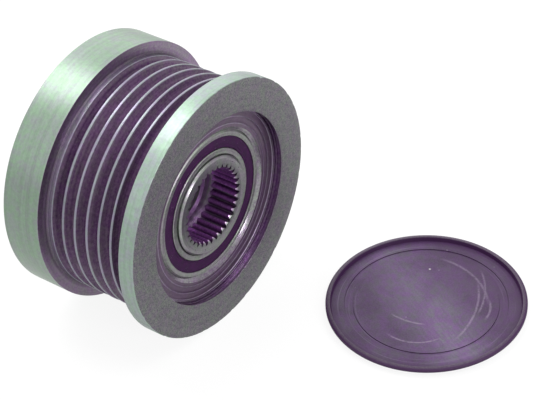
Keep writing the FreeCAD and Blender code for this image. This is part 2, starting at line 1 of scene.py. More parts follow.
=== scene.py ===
"""Looks of an overrunning alternator pulley and its dust cap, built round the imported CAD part.

Lengths are in metres. The pulley's axis is Y, its front face looks along -Y, and the cap lies in front of it.
"""

import math

import bmesh
import bpy
from mathutils import Matrix, Vector, noise


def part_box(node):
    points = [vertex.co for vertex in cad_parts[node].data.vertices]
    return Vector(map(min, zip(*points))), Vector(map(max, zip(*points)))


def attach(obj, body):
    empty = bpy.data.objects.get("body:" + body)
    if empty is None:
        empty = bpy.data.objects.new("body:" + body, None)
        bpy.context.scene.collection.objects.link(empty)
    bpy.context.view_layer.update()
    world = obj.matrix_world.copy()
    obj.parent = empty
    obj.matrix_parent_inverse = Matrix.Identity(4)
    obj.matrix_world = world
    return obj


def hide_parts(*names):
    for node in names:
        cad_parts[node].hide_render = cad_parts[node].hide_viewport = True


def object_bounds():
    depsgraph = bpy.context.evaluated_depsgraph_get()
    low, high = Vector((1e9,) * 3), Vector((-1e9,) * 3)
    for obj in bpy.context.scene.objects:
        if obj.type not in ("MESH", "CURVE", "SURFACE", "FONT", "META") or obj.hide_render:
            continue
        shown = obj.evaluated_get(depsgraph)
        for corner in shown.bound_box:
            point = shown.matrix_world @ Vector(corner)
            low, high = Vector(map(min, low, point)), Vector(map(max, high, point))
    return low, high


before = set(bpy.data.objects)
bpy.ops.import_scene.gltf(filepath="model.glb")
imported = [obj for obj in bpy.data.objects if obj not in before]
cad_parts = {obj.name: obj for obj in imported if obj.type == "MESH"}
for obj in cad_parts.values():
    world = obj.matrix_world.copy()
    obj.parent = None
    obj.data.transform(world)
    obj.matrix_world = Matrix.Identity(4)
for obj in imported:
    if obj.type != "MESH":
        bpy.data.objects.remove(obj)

bl_info = {
    "name": "Alternator pulley",
    "version": (1, 0, 0),
    "blender": (4, 5, 0),
    "location": "3D View > Sidebar > Pulley",
    "description": "Makes an overrunning alternator pulley and its dust cap",
    "category": "Object",
}

MM = 0.001
CAD_LOW, CAD_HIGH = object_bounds()
RING_LOW, RING_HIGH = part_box("grooved_ring")
HUB_LOW, HUB_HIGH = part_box("hub")
CAP_LOW, CAP_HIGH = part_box("dust_cap")

# Radii that soften the edges of a section
SHARP = 0.0
FINE = 0.04 * MM
CRISP = 0.05 * MM
BROKEN = 0.06 * MM
EASED = 0.08 * MM
SOFT = 0.1 * MM

# Colours of grime, wear and painted shade
OIL_SPECK = (0.05, 0.03, 0.06)
DARK_MARK = (0.04, 0.03, 0.05)
BRIGHT_MARK = (0.75, 0.75, 0.75)
DENT_DIRT = (0.06, 0.04, 0.07)
SEAL_GRIT = (0.34, 0.30, 0.36)
CAP_SCRATCH = (0.22, 0.17, 0.25)
CAP_DUST = (0.40, 0.38, 0.40)
CAP_GRIT = (0.3, 0.28, 0.3)
# Painted shade on the cap's face near its rim, on one side, and on the rim's inner wall
CAP_SHADE = (0.030, 0.005, 0.042)
# Painted shade on the top of the cap's rim, a deeper and a paler tone
CAP_RIM_SHADE_DEEP = (0.045, 0.022, 0.055)
CAP_RIM_SHADE_PALE = (0.085, 0.07, 0.088)
# Painted shade on the steps of the cap's channel
CHANNEL_SHADE = (0.02, 0.004, 0.026)


def length(name, description, default):
    """A size that the user can change. Its default is given in millimetres."""
    return bpy.props.FloatProperty(
        name=name, description=description, default=default * MM, min=0.0, precision=5,
        unit="LENGTH", subtype="DISTANCE"
    )


def colour(name, description, default):
    """A colour that the user can change."""
    return bpy.props.FloatVectorProperty(
        name=name, description=description, default=default, min=0.0, max=1.0, size=3, subtype="COLOR"
    )


def count(name, description, default, least):
    """A number of like things that the user can change."""
    return bpy.props.IntProperty(name=name, description=description, default=default, min=least)


def power(name, description, default):
    """A lamp's power in watts that the user can change."""
    return bpy.props.FloatProperty(name=name, description=description, default=default, min=0.0, unit="POWER")


def settings_group(name, description, kind):
    """A group of settings that belong together."""
    return bpy.props.PointerProperty(name=name, description=description, type=kind)


class RingSizes(bpy.types.PropertyGroup):
    """Sizes of the grooved ring. Depths start at its front face."""

    rim_radius: length("Rim radius", "Outside radius of both rims", -RING_LOW.x / MM)
    crest_radius: length("Crest radius", "Radius over the crests between the grooves", 29.35)
    rim_chamfer: length("Rim chamfer", "Bevel on the outer edges of both rims", 0.12)
    front_rim: length("Front rim", "Width of the front rim", 4.15)
    front_wall: length("Front wall", "Run of the front rim's sloping back", 0.55)
    groove_count: count("Grooves", "Number of grooves", 6, 1)
    first_groove: length("First groove", "From the front face to the first groove's middle", 7.39)
    groove_pitch: length("Groove pitch", "From one groove to the next", 3.56)
    groove_mouth: length("Groove mouth", "Width of a groove at the crests", 2.96)
    groove_root: length("Groove root", "Width of a groove's flat bottom", 0.7)
    groove_depth: length("Groove depth", "From the crests to the bottom of a groove", 3.105)
    crest_round: length("Crest round", "Radius of a groove's upper edges", 0.22)
    root_round: length("Root round", "Radius of a groove's lower corners", 0.3)
    land_round: length("Land round", "Radius in the corner before the rear rim", 0.45)
    rear_rim: length("Rear rim", "Width of the rear rim", 10.6)
    recess_radius: length("Recess radius", "Radius of the recess that the cap fits", 24.15)
    recess_depth: length("Recess depth", "From the front face to the recess floor", 2.6)
    recess_round: length("Recess round", "Radius between the recess floor and its wall", 0.35)
    bore_radius: length("Bore radius", "Radius of the bore that holds both bearings", 18.5)


class HubSizes(bpy.types.PropertyGroup):
    """Sizes of the hub and its socket. Depths start at its front face."""

    barrel_radius: length("Barrel radius", "Outside radius of the hub", 12.5)
    edge_chamfer: length("Edge chamfer", "Polished bevel round the hub's front", 0.45)
    collar_radius: length("Collar radius", "Radius of the collar at the rear", HUB_HIGH.x / MM)
    socket_root: length("Socket root", "Radius at the bottom of the tooth gaps", 10.35)
    socket_tip: length("Socket tip", "Radius at the tips of the teeth", 9.2)
    socket_length: length("Socket length", "Length of the teeth", 7.6)
    tooth_bevel: length("Tooth bevel", "Length of the bevel at the teeth's front", 0.5)
    tooth_tip: length("Tooth tip", "Width of a tooth's tip", 0.25)
    gap_root: length("Gap root", "Width of the bottom of a gap", 0.12)
    tooth_count: count("Teeth", "Number of teeth", 33, 6)
    undercut_back: length("Undercut back", "Depth at which the undercut ends", 8.9)
    thread_front: length("Thread front", "Depth at which the thread starts", 10.0)
    thread_back: length("Thread back", "Depth at which the thread ends", 23.1)
    thread_pitch: length("Thread pitch", "From one turn of the thread to the next", 1.5)
    thread_radius: length("Thread radius", "Radius at the bottom of the thread", 8.0)
    thread_tip: length("Thread tip", "Radius at the thread's tips", 7.19)
    pilot_radius: length("Pilot radius", "Radius of the plain bore at the rear", 8.5)
    pilot_front: length("Pilot front", "Depth at which the plain bore starts", 23.9)


class CapSizes(bpy.types.PropertyGroup):
    """Sizes of the dust cap. Heights start at the plane that it lies on."""

    bead_radius: length("Bead radius", "Outside radius of the snap bead", 24.49)
    skirt_radius: length("Skirt radius", "Radius of the skirt under the bead", 22.55)
    rim_round: length("Rim round", "Radius of the edges of the rim and bead", 0.2)
    rim_top: length("Rim top", "Height of the rim", 2.5)
    dish_floor: length("Dish floor", "Height of the dished face", 1.4)
    channel_outside: length("Channel outside", "Outside radius of the channel in the face", 19.95)
    channel_inside: length("Channel inside", "Inside radius of the channel in the face", 17.7)
    channel_depth: length("Channel depth", "Depth of the shallow channel", 0.2)


# Each finish's light and dark streaks
STREAKS = (
    ("rim", "Turned rims", (0.214, 0.288, 0.220), (0.163, 0.205, 0.170)),
    # The front rim's colours are a lighter, greener copy of the rims' as painted light
    ("front_rim", "Front rim", (0.272, 0.345, 0.297), (0.210, 0.258, 0.229)),
    ("crest", "Crests between the grooves", (0.238, 0.245, 0.275), (0.182, 0.176, 0.212)),
    ("wall", "Walls beside the grooves", (0.19, 0.168, 0.192), (0.112, 0.068, 0.13)),
    # The land's colours are lighter than the rims' as painted light, against the shade of the rear rim's wall
    ("land", "Land behind the last groove", (0.32, 0.30, 0.345), (0.20, 0.172, 0.23)),
    # The groove flanks' purple-dark colours are painted shade in the grooves
    ("groove", "Groove flanks", (0.278, 0.218, 0.28), (0.108, 0.052, 0.132)),
    ("face", "Front face", (0.228, 0.235, 0.222), (0.084, 0.072, 0.098)),
    ("recess", "Recess floor", (0.102, 0.066, 0.104), (0.048, 0.022, 0.058)),
    ("inside", "Recess wall", (0.37, 0.30, 0.39), (0.16, 0.088, 0.185)),
    ("corner", "Foot of the recess wall", (0.28, 0.24, 0.30), (0.16, 0.12, 0.18)),
    ("bearing", "Bearing rings", (0.31, 0.34, 0.30), (0.16, 0.145, 0.16)),
    ("hub", "Hub", (0.295, 0.305, 0.29), (0.17, 0.165, 0.175)),
    # The socket's tone is painted light and painted shade inside the socket
    ("socket", "Teeth of the socket", (0.62, 0.37, 0.68), (0.37, 0.16, 0.43)),
    ("seal", "Bearing seals", (0.048, 0.010, 0.057), (0.023, 0.0035, 0.030)),
    ("cap", "Dust cap", (0.134, 0.098, 0.166), (0.026, 0.004, 0.037)),
)


class FinishColours(bpy.types.PropertyGroup):
    """Colours of the finishes, such as rim_light and rim_dark."""

    __annotations__ = {
        f"{key}_{part}": colour(f"{where}, {part}", f"{where}: the {part} streaks or patches", tint)
        for key, where, *pair in STREAKS
        for part, tint in zip(("light", "dark"), pair)
    }
    __annotations__["bore_tint"] = colour("Thread", "Threaded bore of the hub", (0.34, 0.24, 0.37))
    __annotations__["nylon"] = colour("Nylon", "Ball and roller cages", (0.62, 0.58, 0.45))


class StudioSettings(bpy.types.PropertyGroup):
    """Floor, lamps, surroundings and camera."""

    floor: colour("Floor", "Floor and surroundings", (1.0, 1.0, 1.0))
    key_power: power("Key power", "Power of the overhead lamp", 8.9)
    side_power: power("Side power", "Power of the broad lamp at the left", 2.8)
    back_power: power("Back power", "Power of the broad lamp behind at the right", 5.0)
    front_power: power("Front power", "Power of the small lamp in front", 2.6)
    top_power: power("Top power", "Power of the lamp above the front", 4.2)
    fill_strength: bpy.props.FloatProperty(
        name="Fill strength", description="Strength of the surrounding light", default=0.64, min=0.0
    )
    lens: bpy.props.FloatProperty(
        name="Lens", description="Focal length of the camera in millimetres", default=127.6, min=1.0
    )


class PulleySettings(bpy.types.PropertyGroup):
    """Everything that a user would change."""

    ring: settings_group("Ring", "Sizes of the grooved ring", RingSizes)
    hub: settings_group("Hub", "Sizes of the hub", HubSizes)
    cap: settings_group("Cap", "Sizes of the dust cap", CapSizes)
    colours: settings_group("Colours", "Colours of the finishes", FinishColours)
    studio: settings_group("Studio", "Floor, lamps and camera", StudioSettings)


def linked(name, data):
    """A new object in the scene."""
    made = bpy.data.objects.new(name, data)
    bpy.context.collection.objects.link(made)
    return made


def opaque(tint):
    """A colour with its alpha, or the socket that gives one."""
    return tint if isinstance(tint, bpy.types.NodeSocket) else (*tint, 1.0)


class Nodes:
    """Fills a node tree. A node's input is given a socket or a node to link, or a value to hold."""

    def __init__(self, tree):
        self.tree = tree

    def feed(self, node, inputs):
        for key, value in inputs.items():
            if isinstance(value, bpy.types.Node):
                value = value.outputs[0]
            if isinstance(value, bpy.types.NodeSocket):
                self.tree.links.new(value, node.inputs[key])
            else:
                node.inputs[key].default_value = value

    def add(self, kind, inputs=None, **settings):
        node = self.tree.nodes.new(kind)
        for key, value in settings.items():
            setattr(node, key, value)
        self.feed(node, inputs or {})
        return node

    def calc(self, operation, *values):
        return self.add("ShaderNodeMath", dict(enumerate(values)), operation=operation).outputs[0]


class Finish(Nodes):
    """One material, made node by node. Its positions are in millimetres from a centre on the object."""

    def __init__(self, name, centre=(0.0, 0.0, 0.0)):
        self.material = bpy.data.materials.new(name)
        self.material.use_nodes = True
        super().__init__(self.material.node_tree)
        self.shader = self.tree.nodes["Principled BSDF"]
        shift = self.add("ShaderNodeMapping", {
            "Vector": self.add("ShaderNodeTexCoord").outputs["Object"],
            "Location": [-part / MM for part in centre],
            "Scale": [1 / MM] * 3,
        })
        self.point = shift.outputs["Vector"]
        self.x, self.y, self.z = self.add("ShaderNodeSeparateXYZ", {"Vector": self.point}).outputs

    def plus(self, first, second):
        return self.calc("ADD", first, second)

    def minus(self, first, second):
        return self.calc("SUBTRACT", first, second)

    def times(self, first, second):
        return self.calc("MULTIPLY", first, second)

    def total(self, *parts, start=0.0):
        """The sum of (value, weight) pairs, each value taken times its weight."""
        for value, weight in parts:
            start = self.calc("MULTIPLY_ADD", value, weight, start)
        return start

    def apart(self, first, second):
        """How far two values are from each other."""
        return self.calc("ABSOLUTE", self.minus(first, second))

    def radius(self, across, along, middle=(0.0, 0.0)):
        """The distance from an axis that passes through middle."""
        sides = [self.minus(part, shift) for part, shift in zip((across, along), middle)]
        return self.calc("SQRT", self.plus(*(self.times(side, side) for side in sides)))

    def combine(self, *values):
        return self.add("ShaderNodeCombineXYZ", dict(enumerate(values))).outputs[0]

    def cloud(self, scale, detail=3.0, roughness=0.55, vector=None, w=None):
        inputs = {"Vector": vector or self.point, "Scale": scale, "Detail": detail, "Roughness": roughness}
        if w is not None:
            inputs["W"] = w
        dimensions = "3D" if w is None else "4D"
        return self.add("ShaderNodeTexNoise", inputs, noise_dimensions=dimensions).outputs["Fac"]

    def step(self, value, low, high, start=0.0, end=1.0):
        inputs = {"Value": value, "From Min": low, "From Max": high, "To Min": start, "To Max": end}
        return self.add("ShaderNodeMapRange", inputs, interpolation_type="SMOOTHSTEP").outputs[0]

    def mix(self, factor, first, second, blend="MIX"):
        inputs = {0: factor, 6: opaque(first), 7: opaque(second)}
        return self.add("ShaderNodeMix", inputs, data_type="RGBA", blend_type=blend).outputs[2]

    def shaded(self, base, tone):
        """A colour made darker or lighter by a value."""
        return self.mix(1.0, base, self.combine(tone, tone, tone), "MULTIPLY")

    def stained_or_shaded(self, base, where, share, stain_or_shade):
        """A colour with grime, wear or painted shade laid over it, by a share at most, where the mask is 1.
        """
        return self.mix(self.times(where, share), base, stain_or_shade)

    def turned_lines(self, across, along, height, scale, drift, detail=4.0):
        """Streaks that run round an axis, as a lathe tool leaves them. height runs along the axis."""
        out = self.radius(across, along)
        safe = self.calc("MAXIMUM", out, 0.01)
        side = self.times(self.calc("DIVIDE", across, safe), drift)
        up = self.times(self.calc("DIVIDE", along, safe), drift)
        place = self.combine(self.times(out, scale), self.times(height, scale), side)
        return self.cloud(1.0, detail, 0.62, place, up)

    def near(self, place, reach, fade=0.5):
        """1 within reach of a place, in millimetres, falling to 0 outside it."""
        away = self.add("ShaderNodeVectorMath", {0: self.point, 1: place}, operation="DISTANCE")
        return self.step(away.outputs["Value"], reach, reach * (1 - fade))

    def face_dents(self, out, height, turns):
        """A mask of small dents on a circle round the Y axis, at the given turns in degrees from the top."""
        dents = None
        for turn in map(math.radians, turns):
            dent = self.near((out * math.sin(turn), height, out * math.cos(turn)), 0.3, 0.7)
            dents = dent if dents is None else self.calc("MAXIMUM", dents, dent)
        return dents

    def bump(self, height, depth, under=None):
        inputs = {"Height": height, "Strength": 1.0, "Distance": depth * MM}
        if under is not None:
            inputs["Normal"] = under
        return self.add("ShaderNodeBump", inputs).outputs[0]

    def finish(self, base, roughness, normal, metallic=0.0, specular=0.5):
        self.feed(self.shader, {
            "Base Color": base,
            "Roughness": roughness,
            "Normal": normal,
            "Metallic": metallic,
            "Specular IOR Level": specular,
        })
        return self.material


def tinted(made, base, strength=1.0):
    """Lets a steel's tint wander between purple and green, as oil and heat leave it."""
    drift = made.step(made.cloud(0.45, 5.0, 0.7), 0.36, 0.64)
    purple = [1 + part * strength for part in (0.05, -0.08, 0.10)]
    green = [1 + part * strength for part in (-0.04, 0.06, -0.05)]
    return made.mix(1.0, base, made.mix(drift, purple, green), "MULTIPLY")


def turned_steel(name, light, dark, rough, mottling=0.5, spots=1.3, marks=(), fade=None, clean=1.0):
    """Steel turned on a lathe round the pulley's axis.

    marks are (place, reach, colour) of small blemishes. fade is (inner radius, outer radius, inner tone,
    outer tone), in millimetres, a painted shade and painted light that make the steel darker or lighter with
    depth. clean is the share of bare metal, and the rest is an oil film.
    """
    made = Finish(name)
    coarse = made.turned_lines(made.x, made.z, made.y, 1.6, 0.5)
    fine = made.turned_lines(made.x, made.z, made.y, 8.0, 1.5, 2.0)
    patches = made.cloud(spots, 5.0, 0.75)
    tone = made.step(made.total((coarse, 1 - mottling), (patches, mottling)), 0.32, 0.68)
    base = tinted(made, made.mix(tone, dark, light))
    specks = made.step(made.cloud(1.9, 2.0, 0.5), 0.76, 0.8)
    base = made.stained_or_shaded(base, specks, 0.5, OIL_SPECK)
    for place, reach, stain_or_shade in marks:
        base = made.mix(made.near(place, reach), base, stain_or_shade)
    # Painted shade and painted light by depth, for the groove flanks and the walls beside them
    if fade:
        base = made.shaded(base, made.step(made.radius(made.x, made.z), *fade))
    relief = made.bump(fine, 0.004)
    relief = made.bump(made.cloud(4.5, 3.0, 0.6), 0.003, relief)
    return made.finish(base, made.total((fine, 0.16), start=rough - 0.08), relief, clean)


def hub_steel(name, tints, socket):
    """Ground steel with a few small dents beside the socket. Inside the socket a bright purple tone is
    painted light and painted shade, darker at the gap roots and lighter at the tooth tips.

    socket is the radius at the bottom of the tooth gaps, in millimetres.
    """
    made = Finish(name)
    coarse = made.turned_lines(made.x, made.z, made.y, 2.5, 0.6)
    fine = made.turned_lines(made.x, made.z, made.y, 9.0, 1.5, 2.0)
    out = made.radius(made.x, made.z)
    tone = made.step(made.total((coarse, 0.5), (made.cloud(1.6, 4.0, 0.7), 0.5)), 0.32, 0.68)
    base = tinted(made, made.mix(tone, tints.hub_dark, tints.hub_light))
    depth = made.minus(made.y, HUB_LOW.y / MM)
    socket_shade_mask = made.times(made.step(depth, 0.05, 0.7), made.step(out, socket + 0.3, socket + 0.1))
    # The painted socket tone ends in the thread, 18 to 20 mm from the front
    socket_shade_mask = made.times(socket_shade_mask, made.step(depth, 20.0, 18.0))
    # Painted shade towards the gap roots and painted light on the tooth tips
    gap = made.step(out, socket - 1.1, socket - 0.2, 1.5, 0.5)
    socket_shaded = made.shaded(made.mix(tone, tints.socket_dark, tints.socket_light), gap)
    base = made.mix(socket_shade_mask, base, socket_shaded)
    dents = made.face_dents(11.25, HUB_LOW.y / MM, (14, 47, 66, 121, 203, 226, 241, 300))
    base = made.stained_or_shaded(base, dents, 0.7, DENT_DIRT)
    relief = made.bump(fine, 0.003)
    relief = made.bump(made.times(dents, -1.0), 0.04, relief)
    return made.finish(base, made.total((fine, 0.16), start=0.22), relief, 1.0)


def moulded_nylon(name, tint):
    """Moulded cage plastic, a little cloudy."""
    made = Finish(name)
    tone = made.step(made.cloud(0.5, 3.0), 0.3, 0.7)
    base = made.mix(tone, [part * 0.82 for part in tint], tint)
    return made.finish(base, 0.42, made.bump(made.cloud(6.0, 3.0), 0.01))


def softened(corners, closed=True, steps=4):
    """Points of a section, with each corner (radius, height, round) made a small arc of that radius."""
    points = []
    for index, (radius, height, bend) in enumerate(corners):
        here = Vector((radius, height))
        if bend <= 0 or (not closed and index in (0, len(corners) - 1)):
            points.append(here)
            continue
        before = Vector(corners[index - 1][:2]) - here
        after = Vector(corners[(index + 1) % len(corners)][:2]) - here
        half = before.angle(after) / 2
        reach = min(bend / math.tan(half), 0.45 * min(before.length, after.length))
        bend = reach * math.tan(half)
        before.normalize()
        after.normalize()
        centre = here + (before + after).normalized() * (bend / math.sin(half))
        start = (here + before * reach - centre).normalized()
        end = (here + after * reach - centre).normalized()
        points += [centre + start.slerp(end, part / steps) * bend for part in range(steps + 1)]
    return points


def turned_mesh(name, points, centre, finishes, zone, segments, axis="Y", closed=True):
    """A section of (radius, height) points turned round an axis through centre.

    finishes is {zone's name: material}. zone names the zone of a face from its middle's radius and height.
    """
    mesh = bpy.data.meshes.new(name)
    form = bmesh.new()
    slots = list(finishes)
    turns = [math.tau * step / segments for step in range(segments)]
    rows = []
    for radius, height in points:
        spots = [(radius * math.sin(turn), radius * math.cos(turn)) for turn in turns[:None if radius else 1]]
        if axis == "Y":
            row = [form.verts.new((centre[0] + a, centre[1] + height, centre[2] + b)) for a, b in spots]
        else:
            row = [form.verts.new((centre[0] + a, centre[1] + b, centre[2] + height)) for a, b in spots]
        rows.append(row)
    for index in range(len(rows) if closed else len(rows) - 1):
        following = (index + 1) % len(rows)
        first, second = rows[index], rows[following]
        middle = (points[index] + points[following]) / 2
        slot = slots.index(zone(middle.x, middle.y))
        for step in range(segments):
            ahead = (step + 1) % segments
            corners = [first[step % len(first)], first[ahead % len(first)],
                       second[ahead % len(second)], second[step % len(second)]]
            face = form.faces.new(list(dict.fromkeys(corners)))
            face.smooth = True
            face.material_index = slot
    bmesh.ops.recalc_face_normals(form, faces=form.faces)
    form.to_mesh(mesh)
    form.free()
    for material in finishes.values():
        mesh.materials.append(material)
    mesh.set_sharp_from_angle(angle=math.radians(32))
    return linked(name, mesh)


def grown(name, tree, values):
    """Runs a node tree on an empty mesh and returns its result as a plain mesh object."""
    holder = linked(name, bpy.data.meshes.new(name + "_seed"))
    modifier = holder.modifiers.new("Shape", "NODES")
    modifier.node_group = tree
    for item in tree.interface.items_tree:
        if item.item_type == "SOCKET" and item.in_out == "INPUT" and item.name in values:
            modifier[item.identifier] = values[item.name]
    graph = bpy.context.evaluated_depsgraph_get()
    result = bpy.data.meshes.new_from_object(holder.evaluated_get(graph))
    result.name = name
    holder.modifiers.clear()
    holder.data = result
    return holder


class Growth(Nodes):
    """A geometry node tree with named inputs, made node by node."""

    def __init__(self, name, inputs):
        super().__init__(bpy.data.node_groups.new(name, "GeometryNodeTree"))
        for key, (kind, default) in inputs.items():
            socket = self.tree.interface.new_socket(key, in_out="INPUT", socket_type=kind)
            if default is not None:
                socket.default_value = default
        self.tree.interface.new_socket("Geometry", in_out="OUTPUT", socket_type="NodeSocketGeometry")
        self.given = self.add("NodeGroupInput").outputs

    def end(self, geometry):
        """Realizes the instances and gives everything its material."""
        real = self.add("GeometryNodeRealizeInstances", {"Geometry": geometry})
        painted = self.add("GeometryNodeSetMaterial", {"Geometry": real, "Material": self.given["Finish"]})
        self.add("NodeGroupOutput", {"Geometry": painted})
        return self.tree


def round_the_axis_tree():
    """Copies one object round the Y axis, evenly."""
    grow = Growth("Round the axis", {
        "Part": ("NodeSocketObject", None),
        "Count": ("NodeSocketInt", 33),
        "Finish": ("NodeSocketMaterial", None),
    })
    source = grow.add("GeometryNodeObjectInfo", {"Object": grow.given["Part"]})
    points = grow.add("GeometryNodePoints", {"Count": grow.given["Count"]})
    index = grow.add("GeometryNodeInputIndex")
    share = grow.calc("DIVIDE", index, grow.given["Count"])
    turn = grow.calc("MULTIPLY", share, math.tau)
    euler = grow.add("ShaderNodeCombineXYZ", {"Y": turn})
    rotation = grow.add("FunctionNodeEulerToRotation", {"Euler": euler})
    placed = grow.add("GeometryNodeInstanceOnPoints", {
        "Points": points,
        "Instance": source.outputs["Geometry"],
        "Rotation": rotation,
    })
    return grow.end(placed)


def thread_tree():
    """A ridge that winds round the Y axis inside a bore."""
    grow = Growth("Thread ridge", {
        "Turns": ("NodeSocketFloat", 8.7),
        "Pitch": ("NodeSocketFloat", 1.5 * MM),
        "Root": ("NodeSocketFloat", 8.0 * MM),
        "Tip": ("NodeSocketFloat", 7.19 * MM),
        "Start": ("NodeSocketFloat", 0.0),
        "Finish": ("NodeSocketMaterial", None),
    })
    height = grow.calc("MULTIPLY", grow.given["Turns"], grow.given["Pitch"])
    middle = grow.calc("MULTIPLY", grow.calc("ADD", grow.given["Root"], grow.given["Tip"]), 0.5)
    spiral = grow.add("GeometryNodeCurveSpiral", {
        "Resolution": 72,
        "Rotations": grow.given["Turns"],
        "Start Radius": middle,
        "End Radius": middle,
        "Height": height,
    })
    upright = grow.add("GeometryNodeSetCurveNormal", {"Curve": spiral}, mode="Z_UP")
    depth = grow.calc("SUBTRACT", grow.given["Root"], grow.given["Tip"])
    ridge = grow.add("GeometryNodeCurvePrimitiveQuadrilateral", {
        "Height": depth,
        "Bottom Width": grow.calc("MULTIPLY", grow.given["Pitch"], 0.86),
        "Top Width": grow.calc("MULTIPLY", grow.given["Pitch"], 0.13),
        "Offset": 0.0,
    }, mode="TRAPEZOID")
    inward = grow.add("GeometryNodeTransform", {"Geometry": ridge, "Rotation": (0.0, 0.0, -math.pi / 2)})
    wound = grow.add("GeometryNodeCurveToMesh", {
        "Curve": upright,
        "Profile Curve": inward,
        "Fill Caps": True,
    })
    place = grow.add("ShaderNodeCombineXYZ", {"Y": grow.given["Start"]})
    lying = grow.add("GeometryNodeTransform", {
        "Geometry": wound,
        "Translation": place,
        "Rotation": (-math.pi / 2, 0.0, 0.0),
    })
    return grow.end(lying)


def seat(piece, body, slot, *nodes):
    """Puts a finished piece on its body and hides the nodes that it stands for."""
    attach(piece, body)
    if nodes:
        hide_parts(*nodes)


def dress(material, *nodes):
    """Gives CAD nodes their finish."""
    for node in nodes:
        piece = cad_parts[node]
        if not piece.material_slots:
            raise RuntimeError(f"{node} has no material slot")
        for slot in piece.material_slots:
            slot.link = "OBJECT"
            slot.material = material


